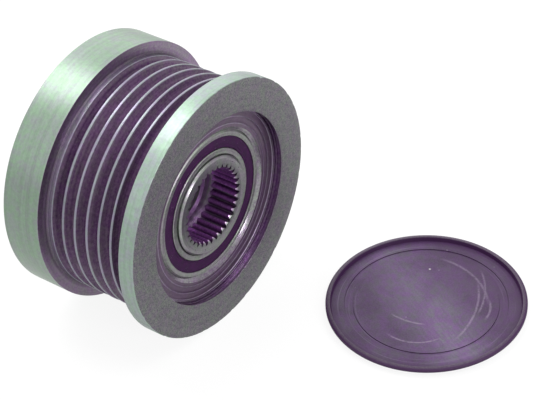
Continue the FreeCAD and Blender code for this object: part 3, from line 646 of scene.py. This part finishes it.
class PULLEY_OT_grooved_ring(bpy.types.Operator):
    """Make the ring with its six grooves, two rims and the recess for the cap"""

    bl_idname = "pulley.grooved_ring"
    bl_label = "Grooved ring"

    def execute(self, context):
        sizes = context.scene.pulley.ring
        tints = context.scene.pulley.colours
        width = RING_HIGH.y - RING_LOW.y
        points = softened(self.outside(sizes, width) + self.inside(sizes, width))
        piece = turned_mesh("grooved_ring_turned", points, (0.0, RING_LOW.y, 0.0), self.finishes(tints),
                            self.zones(sizes, width), segments=320)
        self.nick_the_front_edge(piece, sizes.rim_radius)
        seat(piece, "pulley", "turned_steel", "grooved_ring")
        return {"FINISHED"}

    @staticmethod
    def outside(sizes, width):
        """Corners of the rims and grooves, from the front face to the rear face."""
        rim, crest, edge = sizes.rim_radius, sizes.crest_radius, sizes.rim_chamfer
        root, wall = crest - sizes.groove_depth, width - sizes.rear_rim
        mouth, foot = sizes.groove_mouth / 2, sizes.groove_root / 2
        corners = [
            (rim - edge, 0.0, BROKEN),
            (rim, edge, SOFT),
            (rim, sizes.front_rim, BROKEN),
            (crest, sizes.front_rim + sizes.front_wall, BROKEN),
        ]
        for step in range(sizes.groove_count):
            middle = sizes.first_groove + step * sizes.groove_pitch
            corners += [
                (crest, middle - mouth, sizes.crest_round),
                (root, middle - foot, sizes.root_round),
                (root, middle + foot, sizes.root_round),
                (crest, middle + mouth, sizes.crest_round),
            ]
        return corners + [
            (crest, wall, sizes.land_round),
            (rim, wall, BROKEN),
            (rim, width - edge, SOFT),
            (rim - edge, width, BROKEN),
        ]

    @staticmethod
    def inside(sizes, width):
        """Corners of the bearing bore and the recess, from the rear face to the front face.

        Outwards from its floor, the recess has a relief groove, a ledge, the snap groove and a lip.
        """
        bore, mouth, floor = sizes.bore_radius, sizes.recess_radius, sizes.recess_depth
        rear, rear_edge, chamfer, lead = width - 1.2 * MM, bore + 3 * MM, bore + 1 * MM, 0.8 * MM
        foot, ledge, relief, snap = mouth - 0.3 * MM, mouth + 0.2 * MM, mouth + 0.4 * MM, mouth + 0.75 * MM
        lip_end, snap_end, ledge_end, relief_end = 0.35 * MM, 1.45 * MM, 1.75 * MM, 2.0 * MM
        corners = [
            (rear_edge, width, CRISP),
            (rear_edge, rear, SHARP),
            (chamfer, rear, CRISP),
            (bore, rear - lead, CRISP),
            (bore, floor + lead, CRISP),
            (chamfer, floor, CRISP),
        ]
        for tool_line in (bore + 1.9 * MM, bore + 3.6 * MM):
            corners += [
                (tool_line - 0.15 * MM, floor, SHARP),
                (tool_line, floor + 0.08 * MM, SHARP),
                (tool_line + 0.15 * MM, floor, SHARP),
            ]
        return corners + [
            (foot, floor, sizes.recess_round),
            (foot, relief_end, FINE),
            (relief, relief_end, SHARP),
            (relief, ledge_end, SHARP),
            (ledge, ledge_end, FINE),
            (ledge, snap_end, FINE),
            (snap, snap_end, SHARP),
            (snap, lip_end, SHARP),
            (mouth, lip_end, CRISP),
            (mouth, 0.0, BROKEN),
        ]

    @staticmethod
    def zones(sizes, width):
        """The function that names the zone at a radius and height of the section."""
        crest, bore, mouth = sizes.crest_radius, sizes.bore_radius, sizes.recess_radius
        wall, floor = width - sizes.rear_rim, sizes.recess_depth
        near = 0.1 * MM

        def zone(radius, height):
            if height < 0.02 * MM and radius > mouth:
                return "face"
            if height > wall + near and radius > bore + 0.05 * MM:
                return "rims"
            if radius < bore + 1.02 * MM:
                return "bore"
            if radius < mouth + 1 * MM:
                if abs(height - floor) < 0.02 * MM and radius < mouth - 0.5 * MM:
                    return "floor"
                return "foot" if floor - 0.5 * MM < height < floor + near else "recess"
            if height <= sizes.front_rim:
                return "front rim"
            if height < sizes.front_rim + sizes.front_wall:
                return "walls"
            if height < wall - 1.45 * MM:
                return "crests" if radius > crest - 0.12 * MM else "flanks"
            return "land" if radius < crest + 0.06 * MM else "walls"

        return zone

    @staticmethod
    def finishes(tints):
        """The steel of each zone."""
        rim_marks = [((12.35, -12.45, 30.06), 0.35, DARK_MARK), ((12.52, -16.5, 29.99), 0.22, BRIGHT_MARK)]
        groove_marks = [((3.6, -15.2, 28.6), 0.4, BRIGHT_MARK), ((-24.0, -17.0, 12.0), 0.4, BRIGHT_MARK)]
        return {
            "rims": turned_steel("turned_rims", tints.rim_light, tints.rim_dark, 0.4, marks=rim_marks),
            # Painted shade in the grooves; the fade is painted light towards the roots and painted shade near
            # the crests
            "flanks": turned_steel("groove_flanks", tints.groove_light, tints.groove_dark, 0.52,
                                   marks=groove_marks, fade=(26.2, 29.3, 1.5, 0.68)),
            "face": turned_steel("front_face", tints.face_light, tints.face_dark, 0.54,
                                 mottling=0.86, spots=3.3),
            "floor": turned_steel("recess_floor", tints.recess_light, tints.recess_dark, 0.36, clean=0.5),
            # The walls' fade is painted shade at their foot and painted light towards the rims
            "walls": turned_steel("rim_walls", tints.wall_light, tints.wall_dark, 0.42,
                                  fade=(29.3, 30.6, 0.6, 1.45)),
            "recess": turned_steel("recess_walls", tints.inside_light, tints.inside_dark, 0.3),
            # Painted light: the land gets a lighter copy of the rims' steel
            "land": turned_steel("rear_land", tints.land_light, tints.land_dark, 0.36),
            "bore": turned_steel("bearing_bore", tints.hub_light, tints.wall_dark, 0.22),
            "foot": turned_steel("recess_foot", tints.corner_light, tints.corner_dark, 0.38),
            # Painted light: the front rim gets a lighter copy of the rims' steel
            "front rim": turned_steel("front_rim", tints.front_rim_light, tints.front_rim_dark, 0.43),
            "crests": turned_steel("groove_crests", tints.crest_light, tints.crest_dark, 0.4),
        }

    @staticmethod
    def nick_the_front_edge(piece, rim):
        """Presses small nicks into the front rim's edge, which handling leaves there."""
        reach, spacing, deepest = 0.5 * MM, 1.3 * MM, 0.42 * MM
        for corner in piece.data.vertices:
            out = math.hypot(corner.co.x, corner.co.z)
            if out > rim - reach and corner.co.y < RING_LOW.y + reach:
                ragged = noise.noise(Vector((corner.co.x, 0.0, corner.co.z)) / spacing)
                nick = max(0.0, ragged - 0.2) * deepest
                corner.co.x *= 1 - nick / out
                corner.co.z *= 1 - nick / out


class PULLEY_OT_hub(bpy.types.Operator):
    """Make the hub with its polished front edge, bores and rear collar"""

    bl_idname = "pulley.hub"
    bl_label = "Hub"

    def execute(self, context):
        sizes = context.scene.pulley.hub
        tints = context.scene.pulley.colours
        socket, pilot_start = sizes.socket_root, sizes.pilot_front - 0.5 * MM
        mouth_start, mouth_end = sizes.undercut_back - 0.05 * MM, sizes.thread_front - 0.45 * MM

        def zone(radius, height):
            if mouth_start < height < mouth_end and radius < sizes.thread_radius + 0.2 * MM:
                return "mouth"
            if height > pilot_start and radius < sizes.pilot_radius + 0.35 * MM:
                return "pilot"
            return "bore" if radius < socket + 0.3 * MM and 0.01 * MM < height < pilot_start else "steel"

        finishes = {
            "steel": hub_steel("hub_steel", tints, socket / MM),
            "bore": turned_steel("hub_bore", tints.hub_light, tints.bore_tint, 0.36),
            "pilot": turned_steel("pilot_bore", tints.hub_light, tints.hub_dark, 0.34),
            # Painted shade: the thread's mouth takes the dark tones of the rims' walls and the recess floor
            "mouth": turned_steel("thread_mouth", tints.wall_dark, tints.recess_dark, 0.42),
        }
        points = softened(self.section(sizes))
        piece = turned_mesh("hub_turned", points, (0.0, HUB_LOW.y, 0.0), finishes, zone, segments=264)
        seat(piece, "hub", "ground_steel", "hub")
        return {"FINISHED"}

    @staticmethod
    def section(sizes):
        """Corners of the hub, along its outside from the front and back through its bores."""
        barrel, collar, pilot = sizes.barrel_radius, sizes.collar_radius, sizes.pilot_radius
        thread, socket = sizes.thread_radius, sizes.socket_root
        whole = HUB_HIGH.y - HUB_LOW.y
        collar_front, bevel, pilot_bevel = whole - 3.4 * MM, 0.4 * MM, 0.3 * MM
        undercut, thread_end = socket + 0.25 * MM, sizes.pilot_front - 0.5 * MM
        return [
            (barrel - sizes.edge_chamfer, 0.0, BROKEN),
            (barrel, sizes.edge_chamfer, EASED),
            (barrel, collar_front, SHARP),
            (collar, collar_front, EASED),
            (collar, whole - bevel, CRISP),
            (collar - bevel, whole, CRISP),
            (pilot + pilot_bevel, whole, CRISP),
            (pilot, whole - pilot_bevel, CRISP),
            (pilot, sizes.pilot_front, CRISP),
            (thread, thread_end, SHARP),
            (thread, sizes.thread_front - 0.2 * MM, SHARP),
            (thread - 0.45 * MM, sizes.thread_front - 0.5 * MM, SHARP),
            (thread + 0.2 * MM, sizes.undercut_back, FINE),
            (undercut, sizes.undercut_back, SHARP),
            (undercut, sizes.socket_length, SHARP),
            (socket, sizes.socket_length, SHARP),
            (socket, 0.0, SHARP),
        ]


class PULLEY_OT_socket_teeth(bpy.types.Operator):
    """Make the teeth of the tool socket and the thread behind them"""

    bl_idname = "pulley.socket_teeth"
    bl_label = "Socket teeth and thread"

    def execute(self, context):
        sizes = context.scene.pulley.hub
        tints = context.scene.pulley.colours
        tooth = self.one_tooth(sizes)
        teeth = grown("hub_socket_teeth", round_the_axis_tree(), {
            "Part": tooth,
            "Count": sizes.tooth_count,
            "Finish": hub_steel("socket_steel", tints, sizes.socket_root / MM),
        })
        bpy.data.objects.remove(tooth)
        teeth.data.set_sharp_from_angle(angle=math.radians(20))
        seat(teeth, "hub", "ground_steel")
        thread = grown("hub_thread", thread_tree(), {
            "Turns": (sizes.thread_back - sizes.thread_front) / sizes.thread_pitch,
            "Pitch": sizes.thread_pitch,
            "Root": sizes.thread_radius,
            "Tip": sizes.thread_tip,
            "Start": HUB_LOW.y + sizes.thread_front,
            "Finish": turned_steel("thread_steel", tints.hub_light, tints.bore_tint, 0.4),
        })
        seat(thread, "hub", "ground_steel")
        return {"FINISHED"}

    @staticmethod
    def one_tooth(sizes):
        """The tooth on the +Z side, its base just inside the hub's wall."""
        tip, tip_half = sizes.socket_tip, sizes.tooth_tip / 2
        base, crown = sizes.socket_root + 0.01 * MM, tip + 0.45 * MM
        base_half = base * math.pi / sizes.tooth_count - sizes.gap_root / 2
        crown_half = tip_half + (base_half - tip_half) * (crown - tip) / (base - tip)
        front, bevel, back = HUB_LOW.y, HUB_LOW.y + sizes.tooth_bevel, HUB_LOW.y + sizes.socket_length
        places = [
            (-base_half, front, base), (base_half, front, base),
            (crown_half, front, crown), (-crown_half, front, crown),
            (tip_half, bevel, tip), (-tip_half, bevel, tip),
            (-base_half, back, base), (base_half, back, base),
            (tip_half, back, tip), (-tip_half, back, tip),
        ]
        faces = [
            (0, 1, 2, 3), (3, 2, 4, 5), (5, 4, 8, 9), (9, 8, 7, 6),
            (6, 7, 1, 0), (1, 7, 8, 4, 2), (0, 3, 5, 9, 6),
        ]
        mesh = bpy.data.meshes.new("tooth")
        mesh.from_pydata(places, [], faces)
        form = bmesh.new()
        form.from_mesh(mesh)
        bmesh.ops.recalc_face_normals(form, faces=form.faces)
        form.to_mesh(mesh)
        form.free()
        return linked("tooth", mesh)


class PULLEY_OT_bearings(bpy.types.Operator):
    """Finish both ball bearings and their seals"""

    bl_idname = "pulley.bearings"
    bl_label = "Bearings"

    def execute(self, context):
        tints = context.scene.pulley.colours
        ring = turned_steel("bearing_steel", tints.bearing_light, tints.bearing_dark, 0.38)
        seal = self.seal_finish(tints)
        nylon = moulded_nylon("bearing_nylon", tints.nylon)
        for side in ("front", "rear"):
            dress(ring, f"{side}_inner_ring", f"{side}_outer_ring", f"{side}_balls")
            dress(nylon, f"{side}_ball_cage")
            dress(seal, f"{side}_bearing_front_seal", f"{side}_bearing_rear_seal")
        return {"FINISHED"}

    @staticmethod
    def seal_finish(tints):
        """Moulded rubber, matt, with dust and a faint ring near its lip."""
        made = Finish("seal_rubber")
        dust = made.step(made.cloud(0.8, 5.0, 0.7), 0.42, 0.66)
        base = made.stained_or_shaded(tints.seal_dark, dust, 0.7, tints.seal_light)
        grit = made.step(made.cloud(3.2, 2.0, 0.5), 0.72, 0.77)
        base = made.stained_or_shaded(base, grit, 0.5, SEAL_GRIT)
        lip = made.step(made.apart(made.radius(made.x, made.z), 15.1), 0.12, 0.02)
        relief = made.bump(lip, 0.05)
        relief = made.bump(made.cloud(5.0, 4.0), 0.02, relief)
        return made.finish(base, made.total((dust, 0.2), start=0.6), relief, specular=0.12)


class PULLEY_OT_clutch(bpy.types.Operator):
    """Finish the one-way clutch between the bearings"""

    bl_idname = "pulley.clutch"
    bl_label = "One-way clutch"

    def execute(self, context):
        tints = context.scene.pulley.colours
        hard = turned_steel("clutch_steel", tints.bearing_light, tints.bearing_dark, 0.24)
        strip = turned_steel("spring_strip", tints.hub_light, tints.hub_dark, 0.3)
        nylon = moulded_nylon("clutch_nylon", tints.nylon)
        dress(hard, "clutch_sleeve", "clutch_ramp_ring", "clutch_rollers")
        dress(strip, "clutch_springs")
        dress(nylon, "clutch_cage")
        return {"FINISHED"}


class PULLEY_OT_dust_cap(bpy.types.Operator):
    """Make the dust cap that lies in front of the pulley"""

    bl_idname = "pulley.dust_cap"
    bl_label = "Dust cap"

    def execute(self, context):
        sizes = context.scene.pulley.cap
        tints = context.scene.pulley.colours
        floor = sizes.dish_floor

        def zone(radius, height):
            on_the_step = floor - sizes.channel_depth + 0.02 * MM < height < floor - 0.02 * MM
            return "steps" if on_the_step and radius < sizes.channel_outside + 1 * MM else "plastic"

        centre = ((CAP_LOW.x + CAP_HIGH.x) / 2, (CAP_LOW.y + CAP_HIGH.y) / 2, CAP_LOW.z)
        finishes = {"plastic": self.cap_finish(tints, centre), "steps": self.edge_finish(tints, centre)}
        points = softened(self.section(sizes), closed=False)
        piece = turned_mesh("dust_cap_moulded", points, centre, finishes, zone,
                            segments=256, axis="Z", closed=False)
        seat(piece, "hub", "cap_plastic", "dust_cap")
        return {"FINISHED"}

    @staticmethod
    def section(sizes):
        """Corners of the cap, from the middle of its underside round the rim to the middle of its face."""
        bead, skirt, top, floor = sizes.bead_radius, sizes.skirt_radius, sizes.rim_top, sizes.dish_floor
        underside, sunk, step = 0.6 * MM, floor - sizes.channel_depth, 0.04 * MM
        slope_foot, bead_low, bead_high = top - 1.75 * MM, top - 1.05 * MM, top - 0.3 * MM
        foot, shoulder = skirt - 1.5 * MM, bead - 0.79 * MM
        return [
            (0.0, underside, SHARP),
            (foot, underside, SHARP),
            (foot, 0.0, SHARP),
            (skirt, 0.0, SHARP),
            (skirt, slope_foot, SHARP),
            (bead, bead_low, sizes.rim_round),
            (bead, bead_high, sizes.rim_round),
            (shoulder, top, sizes.rim_round),
            (shoulder - 0.35 * MM, top, sizes.rim_round),
            (shoulder - 0.65 * MM, floor, SHARP),
            (sizes.channel_outside, floor, SHARP),
            (sizes.channel_outside - step, sunk, SHARP),
            (sizes.channel_inside + step, sunk, SHARP),
            (sizes.channel_inside, floor, SHARP),
            (0.0, floor, SHARP),
        ]

    @classmethod
    def cap_finish(cls, tints, centre):
        """Moulded plastic with faint concentric lines, scuffs, a few scratches and specks of dust, under a
        painted sheen and painted shade.
        """
        made = Finish("cap_plastic", centre)
        out = made.radius(made.x, made.y)
        # Distances across and along the painted sheen's band, which lies aslant on the face
        across = made.total((made.x, 0.884), (made.y, -0.466))
        along = made.total((made.x, 0.466), (made.y, 0.884))
        rings = made.turned_lines(made.x, made.y, made.z, 1.2, 0.4)
        scuff = made.step(made.cloud(0.13, 4.0, 0.6), 0.34, 0.66)
        speckle = made.step(made.cloud(3.4, 4.0, 0.8), 0.4, 0.6)
        # Painted sheen, a painted highlight across the face
        sheen = cls.sheen(made, across, along)
        tone = made.total((scuff, 0.16), (speckle, 0.27), (rings, 0.1), (sheen, 1.0))
        base = tinted(made, made.mix(tone, tints.cap_dark, tints.cap_light), 2.2)
        worn = made.times(made.step(out, 15.5, 19.0), made.step(out, 23.0, 22.0))
        lines = made.step(made.turned_lines(made.x, made.y, 0.0, 2.6, 0.9, 2.0), 0.55, 0.72)
        base = made.stained_or_shaded(base, made.times(worn, lines), 0.7, tints.cap_light)
        broken = made.times(cls.scratches(made), made.step(made.cloud(1.6, 4.0, 0.7), 0.28, 0.56))
        base = made.stained_or_shaded(base, broken, 0.6, CAP_SCRATCH)
        for x, y, reach in (
            (10.9, 5.8, 0.42), (19.3, 6.0, 0.3), (20.0, -7.2, 0.28), (8.6, -22.6, 0.45),
            (-7.0, 1.3, 0.28), (11.8, 3.7, 0.28), (-17.0, -15.2, 0.35), (1.0, -23.5, 0.35),
        ):
            base = made.mix(made.near((x, y, 1.6), reach), base, CAP_DUST)
        base = made.stained_or_shaded(base, made.step(made.cloud(2.1, 1.0, 0.5), 0.8, 0.84), 0.6, CAP_GRIT)
        # Painted shade: darker towards the rim, on one side of the face, and on the rim's inner wall
        base = made.stained_or_shaded(base, made.step(out, 21.0, 23.0), 0.5, CAP_SHADE)
        base = made.stained_or_shaded(base, made.step(across, 4.0, 18.0), 0.4, CAP_SHADE)
        rim_wall_shade = made.times(made.step(out, 22.95, 23.1), made.step(made.z, 2.48, 2.3))
        base = made.stained_or_shaded(base, rim_wall_shade, 0.92, CAP_SHADE)
        # Painted shade on the top of the rim, in mottled deeper and paler patches
        rim = made.times(made.step(out, 23.2, 23.35), made.step(made.z, 2.3, 2.45))
        base = made.stained_or_shaded(base, rim, 0.7, made.mix(speckle, CAP_RIM_SHADE_DEEP, CAP_RIM_SHADE_PALE))
        relief = made.bump(rings, 0.01)
        relief = made.bump(made.cloud(3.0, 4.0), 0.02, relief)
        relief = made.bump(made.times(broken, -1.0), 0.02, relief)
        return made.finish(base, made.total((speckle, 0.16), start=0.44), relief, specular=0.3)

    @staticmethod
    def sheen(made, across, along):
        """A painted sheen: a lighter band across the face, streaky and stronger towards one end."""
        band = made.step(made.apart(across, -1.2), 12.0, 0.0)
        sheen_streaks = made.cloud(1.0, 3.0, 0.6, made.combine(made.times(across, 1.5), made.times(along, 0.25), 0.0))
        band = made.times(band, made.total((sheen_streaks, 0.56), start=0.18))
        return made.times(band, made.step(along, 18.0, -16.0, 0.55, 1.2))

    @staticmethod
    def scratches(made):
        """A mask of curved scratches, each the stretch of a circle that lies near a spot."""
        marks = None
        for middle, bend, spot, reach, width in (
            ((-2.9, 2.7), 18.8, (14.5, -4.8), 11.5, 0.5), ((2.6, -6.4), 8.7, (5.9, -14.4), 4.0, 0.45),
            ((-4.4, 14.6), 27.5, (3.4, -11.7), 12.0, 0.42), ((-0.3, 10.5), 23.4, (10.9, -10.1), 9.0, 0.38),
            ((-4.6, -0.4), 10.0, (-13.6, -4.6), 7.5, 0.38), ((7.9, 2.5), 16.0, (-8.1, 0.3), 5.0, 0.38),
        ):
            mark = made.step(made.apart(made.radius(made.x, made.y, middle), bend), width, width * 0.2)
            mark = made.times(mark, made.near((*spot, 1.4), reach, 0.4))
            marks = mark if marks is None else made.calc("MAXIMUM", marks, mark)
        return marks

    @staticmethod
    def edge_finish(tints, centre):
        """The same plastic on the two small steps of the channel, darkened as painted shade that draws the
        steps' edges.
        """
        made = Finish("cap_edges", centre)
        # Painted shade on the steps, in darker and lighter patches
        step_shade = made.step(made.cloud(1.4, 4.0, 0.7), 0.35, 0.65)
        base = made.mix(step_shade, CHANNEL_SHADE, tints.cap_dark)
        return made.finish(base, 0.6, made.bump(step_shade, 0.01))


class PULLEY_OT_studio(bpy.types.Operator):
    """Set up the floor, the lamps, the surroundings and the camera"""

    bl_idname = "pulley.studio"
    bl_label = "Studio"

    def execute(self, context):
        studio = context.scene.pulley.studio
        self.make_floor(studio)
        self.make_surroundings(context, studio)
        self.make_lamp("key_lamp", studio.key_power, (0.07, 0.59, 1.07), (0.54, 0.9))
        self.make_lamp("side_lamp", studio.side_power, (-0.78, 0.57, 0.62), (1.1, 1.0))
        self.make_lamp("back_lamp", studio.back_power, (0.76, 0.74, 0.52), (1.1, 1.0))
        self.make_lamp("front_lamp", studio.front_power, (-0.2, -0.96, 0.42), (0.2, 0.2))
        self.make_lamp("top_lamp", studio.top_power, (0.12, -0.62, 0.98), (0.7, 0.5))
        self.make_camera(context, studio)
        context.scene.view_settings.view_transform = "Standard"
        return {"FINISHED"}

    @staticmethod
    def white_where_seen(made, lit, plain, seen, mirrored):
        """Mixes a lit surface with a plain one, by one share for the camera and one for gloss and glass."""
        paths = made.add("ShaderNodeLightPath").outputs
        shares = {"Is Camera Ray": seen, "Is Glossy Ray": mirrored, "Is Transmission Ray": mirrored}
        most = 0.0
        for key, share in shares.items():
            most = made.calc("MAXIMUM", most, made.calc("MULTIPLY", paths[key], share))
        return made.add("ShaderNodeMixShader", {0: most, 1: lit, 2: plain})

    def make_floor(self, studio):
        mesh = bpy.data.meshes.new("floor")
        half = 2.5
        corners = [(x, y, CAD_LOW.z) for x, y in ((-half, -half), (half, -half), (half, half), (-half, half))]
        mesh.from_pydata(corners, [], [(0, 1, 2, 3)])
        material = bpy.data.materials.new("studio_floor")
        material.use_nodes = True
        made = Nodes(material.node_tree)
        lit = made.tree.nodes["Principled BSDF"]
        made.feed(lit, {"Base Color": opaque(studio.floor), "Roughness": 0.9})
        plain = made.add("ShaderNodeEmission", {"Color": opaque(studio.floor)})
        seen = self.white_where_seen(made, lit, plain, seen=0.88, mirrored=0.62)
        made.feed(made.tree.nodes["Material Output"], {"Surface": seen})
        mesh.materials.append(material)
        linked("floor", mesh)

    def make_surroundings(self, context, studio):
        world = bpy.data.worlds.new("surroundings")
        world.use_nodes = True
        made = Nodes(world.node_tree)
        lit = made.tree.nodes["Background"]
        made.feed(lit, {"Color": opaque(studio.floor), "Strength": studio.fill_strength})
        plain = made.add("ShaderNodeBackground", {"Color": opaque(studio.floor)})
        seen = self.white_where_seen(made, lit, plain, seen=1.0, mirrored=1.0)
        made.feed(made.tree.nodes["World Output"], {"Surface": seen})
        context.scene.world = world

    @staticmethod
    def make_lamp(name, power, place, size):
        lamp = bpy.data.lights.new(name, "AREA")
        lamp.shape = "RECTANGLE"
        lamp.size, lamp.size_y = size
        lamp.energy = power
        holder = linked(name, lamp)
        holder.location = place
        holder.rotation_euler = (-Vector(place)).to_track_quat("-Z", "Y").to_euler()

    @staticmethod
    def make_camera(context, studio):
        """The camera, placed by a fit to the circles that the photograph shows."""
        lens = bpy.data.cameras.new("camera")
        lens.lens = studio.lens
        lens.sensor_width = 36.0
        lens.clip_start, lens.clip_end = 0.01, 20.0
        camera = linked("camera", lens)
        right = Vector((0.5870, -0.8075, -0.0576)).normalized()
        ahead = Vector((0.6071, 0.4862, -0.6285)).normalized()
        up = right.cross(ahead).normalized()
        place = Matrix((right, up, -ahead)).transposed().to_4x4()
        place.translation = (-0.26114, -0.26268, 0.27903)
        camera.matrix_world = place
        context.scene.camera = camera


class PULLEY_PT_sidebar(bpy.types.Panel):
    """Sizes, colours and the buttons that make each piece"""

    bl_label = "Alternator pulley"
    bl_idname = "PULLEY_PT_sidebar"
    bl_space_type = "VIEW_3D"
    bl_region_type = "UI"
    bl_category = "Pulley"

    def draw(self, context):
        settings = context.scene.pulley
        for group in (settings.ring, settings.hub, settings.cap, settings.colours, settings.studio):
            box = self.layout.box()
            for key in type(group).__annotations__:
                box.prop(group, key)
        for operator in OPERATORS:
            self.layout.operator(operator.bl_idname)


OPERATORS = (
    PULLEY_OT_studio,
    PULLEY_OT_grooved_ring,
    PULLEY_OT_hub,
    PULLEY_OT_socket_teeth,
    PULLEY_OT_bearings,
    PULLEY_OT_clutch,
    PULLEY_OT_dust_cap,
)
GROUPS = (RingSizes, HubSizes, CapSizes, FinishColours, StudioSettings, PulleySettings)


def register():
    for part in (*GROUPS, *OPERATORS, PULLEY_PT_sidebar):
        bpy.utils.register_class(part)
    bpy.types.Scene.pulley = settings_group(
        "Alternator pulley", "Sizes and colours of the pulley", PulleySettings
    )


def unregister():
    del bpy.types.Scene.pulley
    for part in reversed((*GROUPS, *OPERATORS, PULLEY_PT_sidebar)):
        bpy.utils.unregister_class(part)


def main():
    register()
    for operator in OPERATORS:
        family, name = operator.bl_idname.split(".")
        getattr(getattr(bpy.ops, family), name)()


if __name__ == "__main__":
    main()
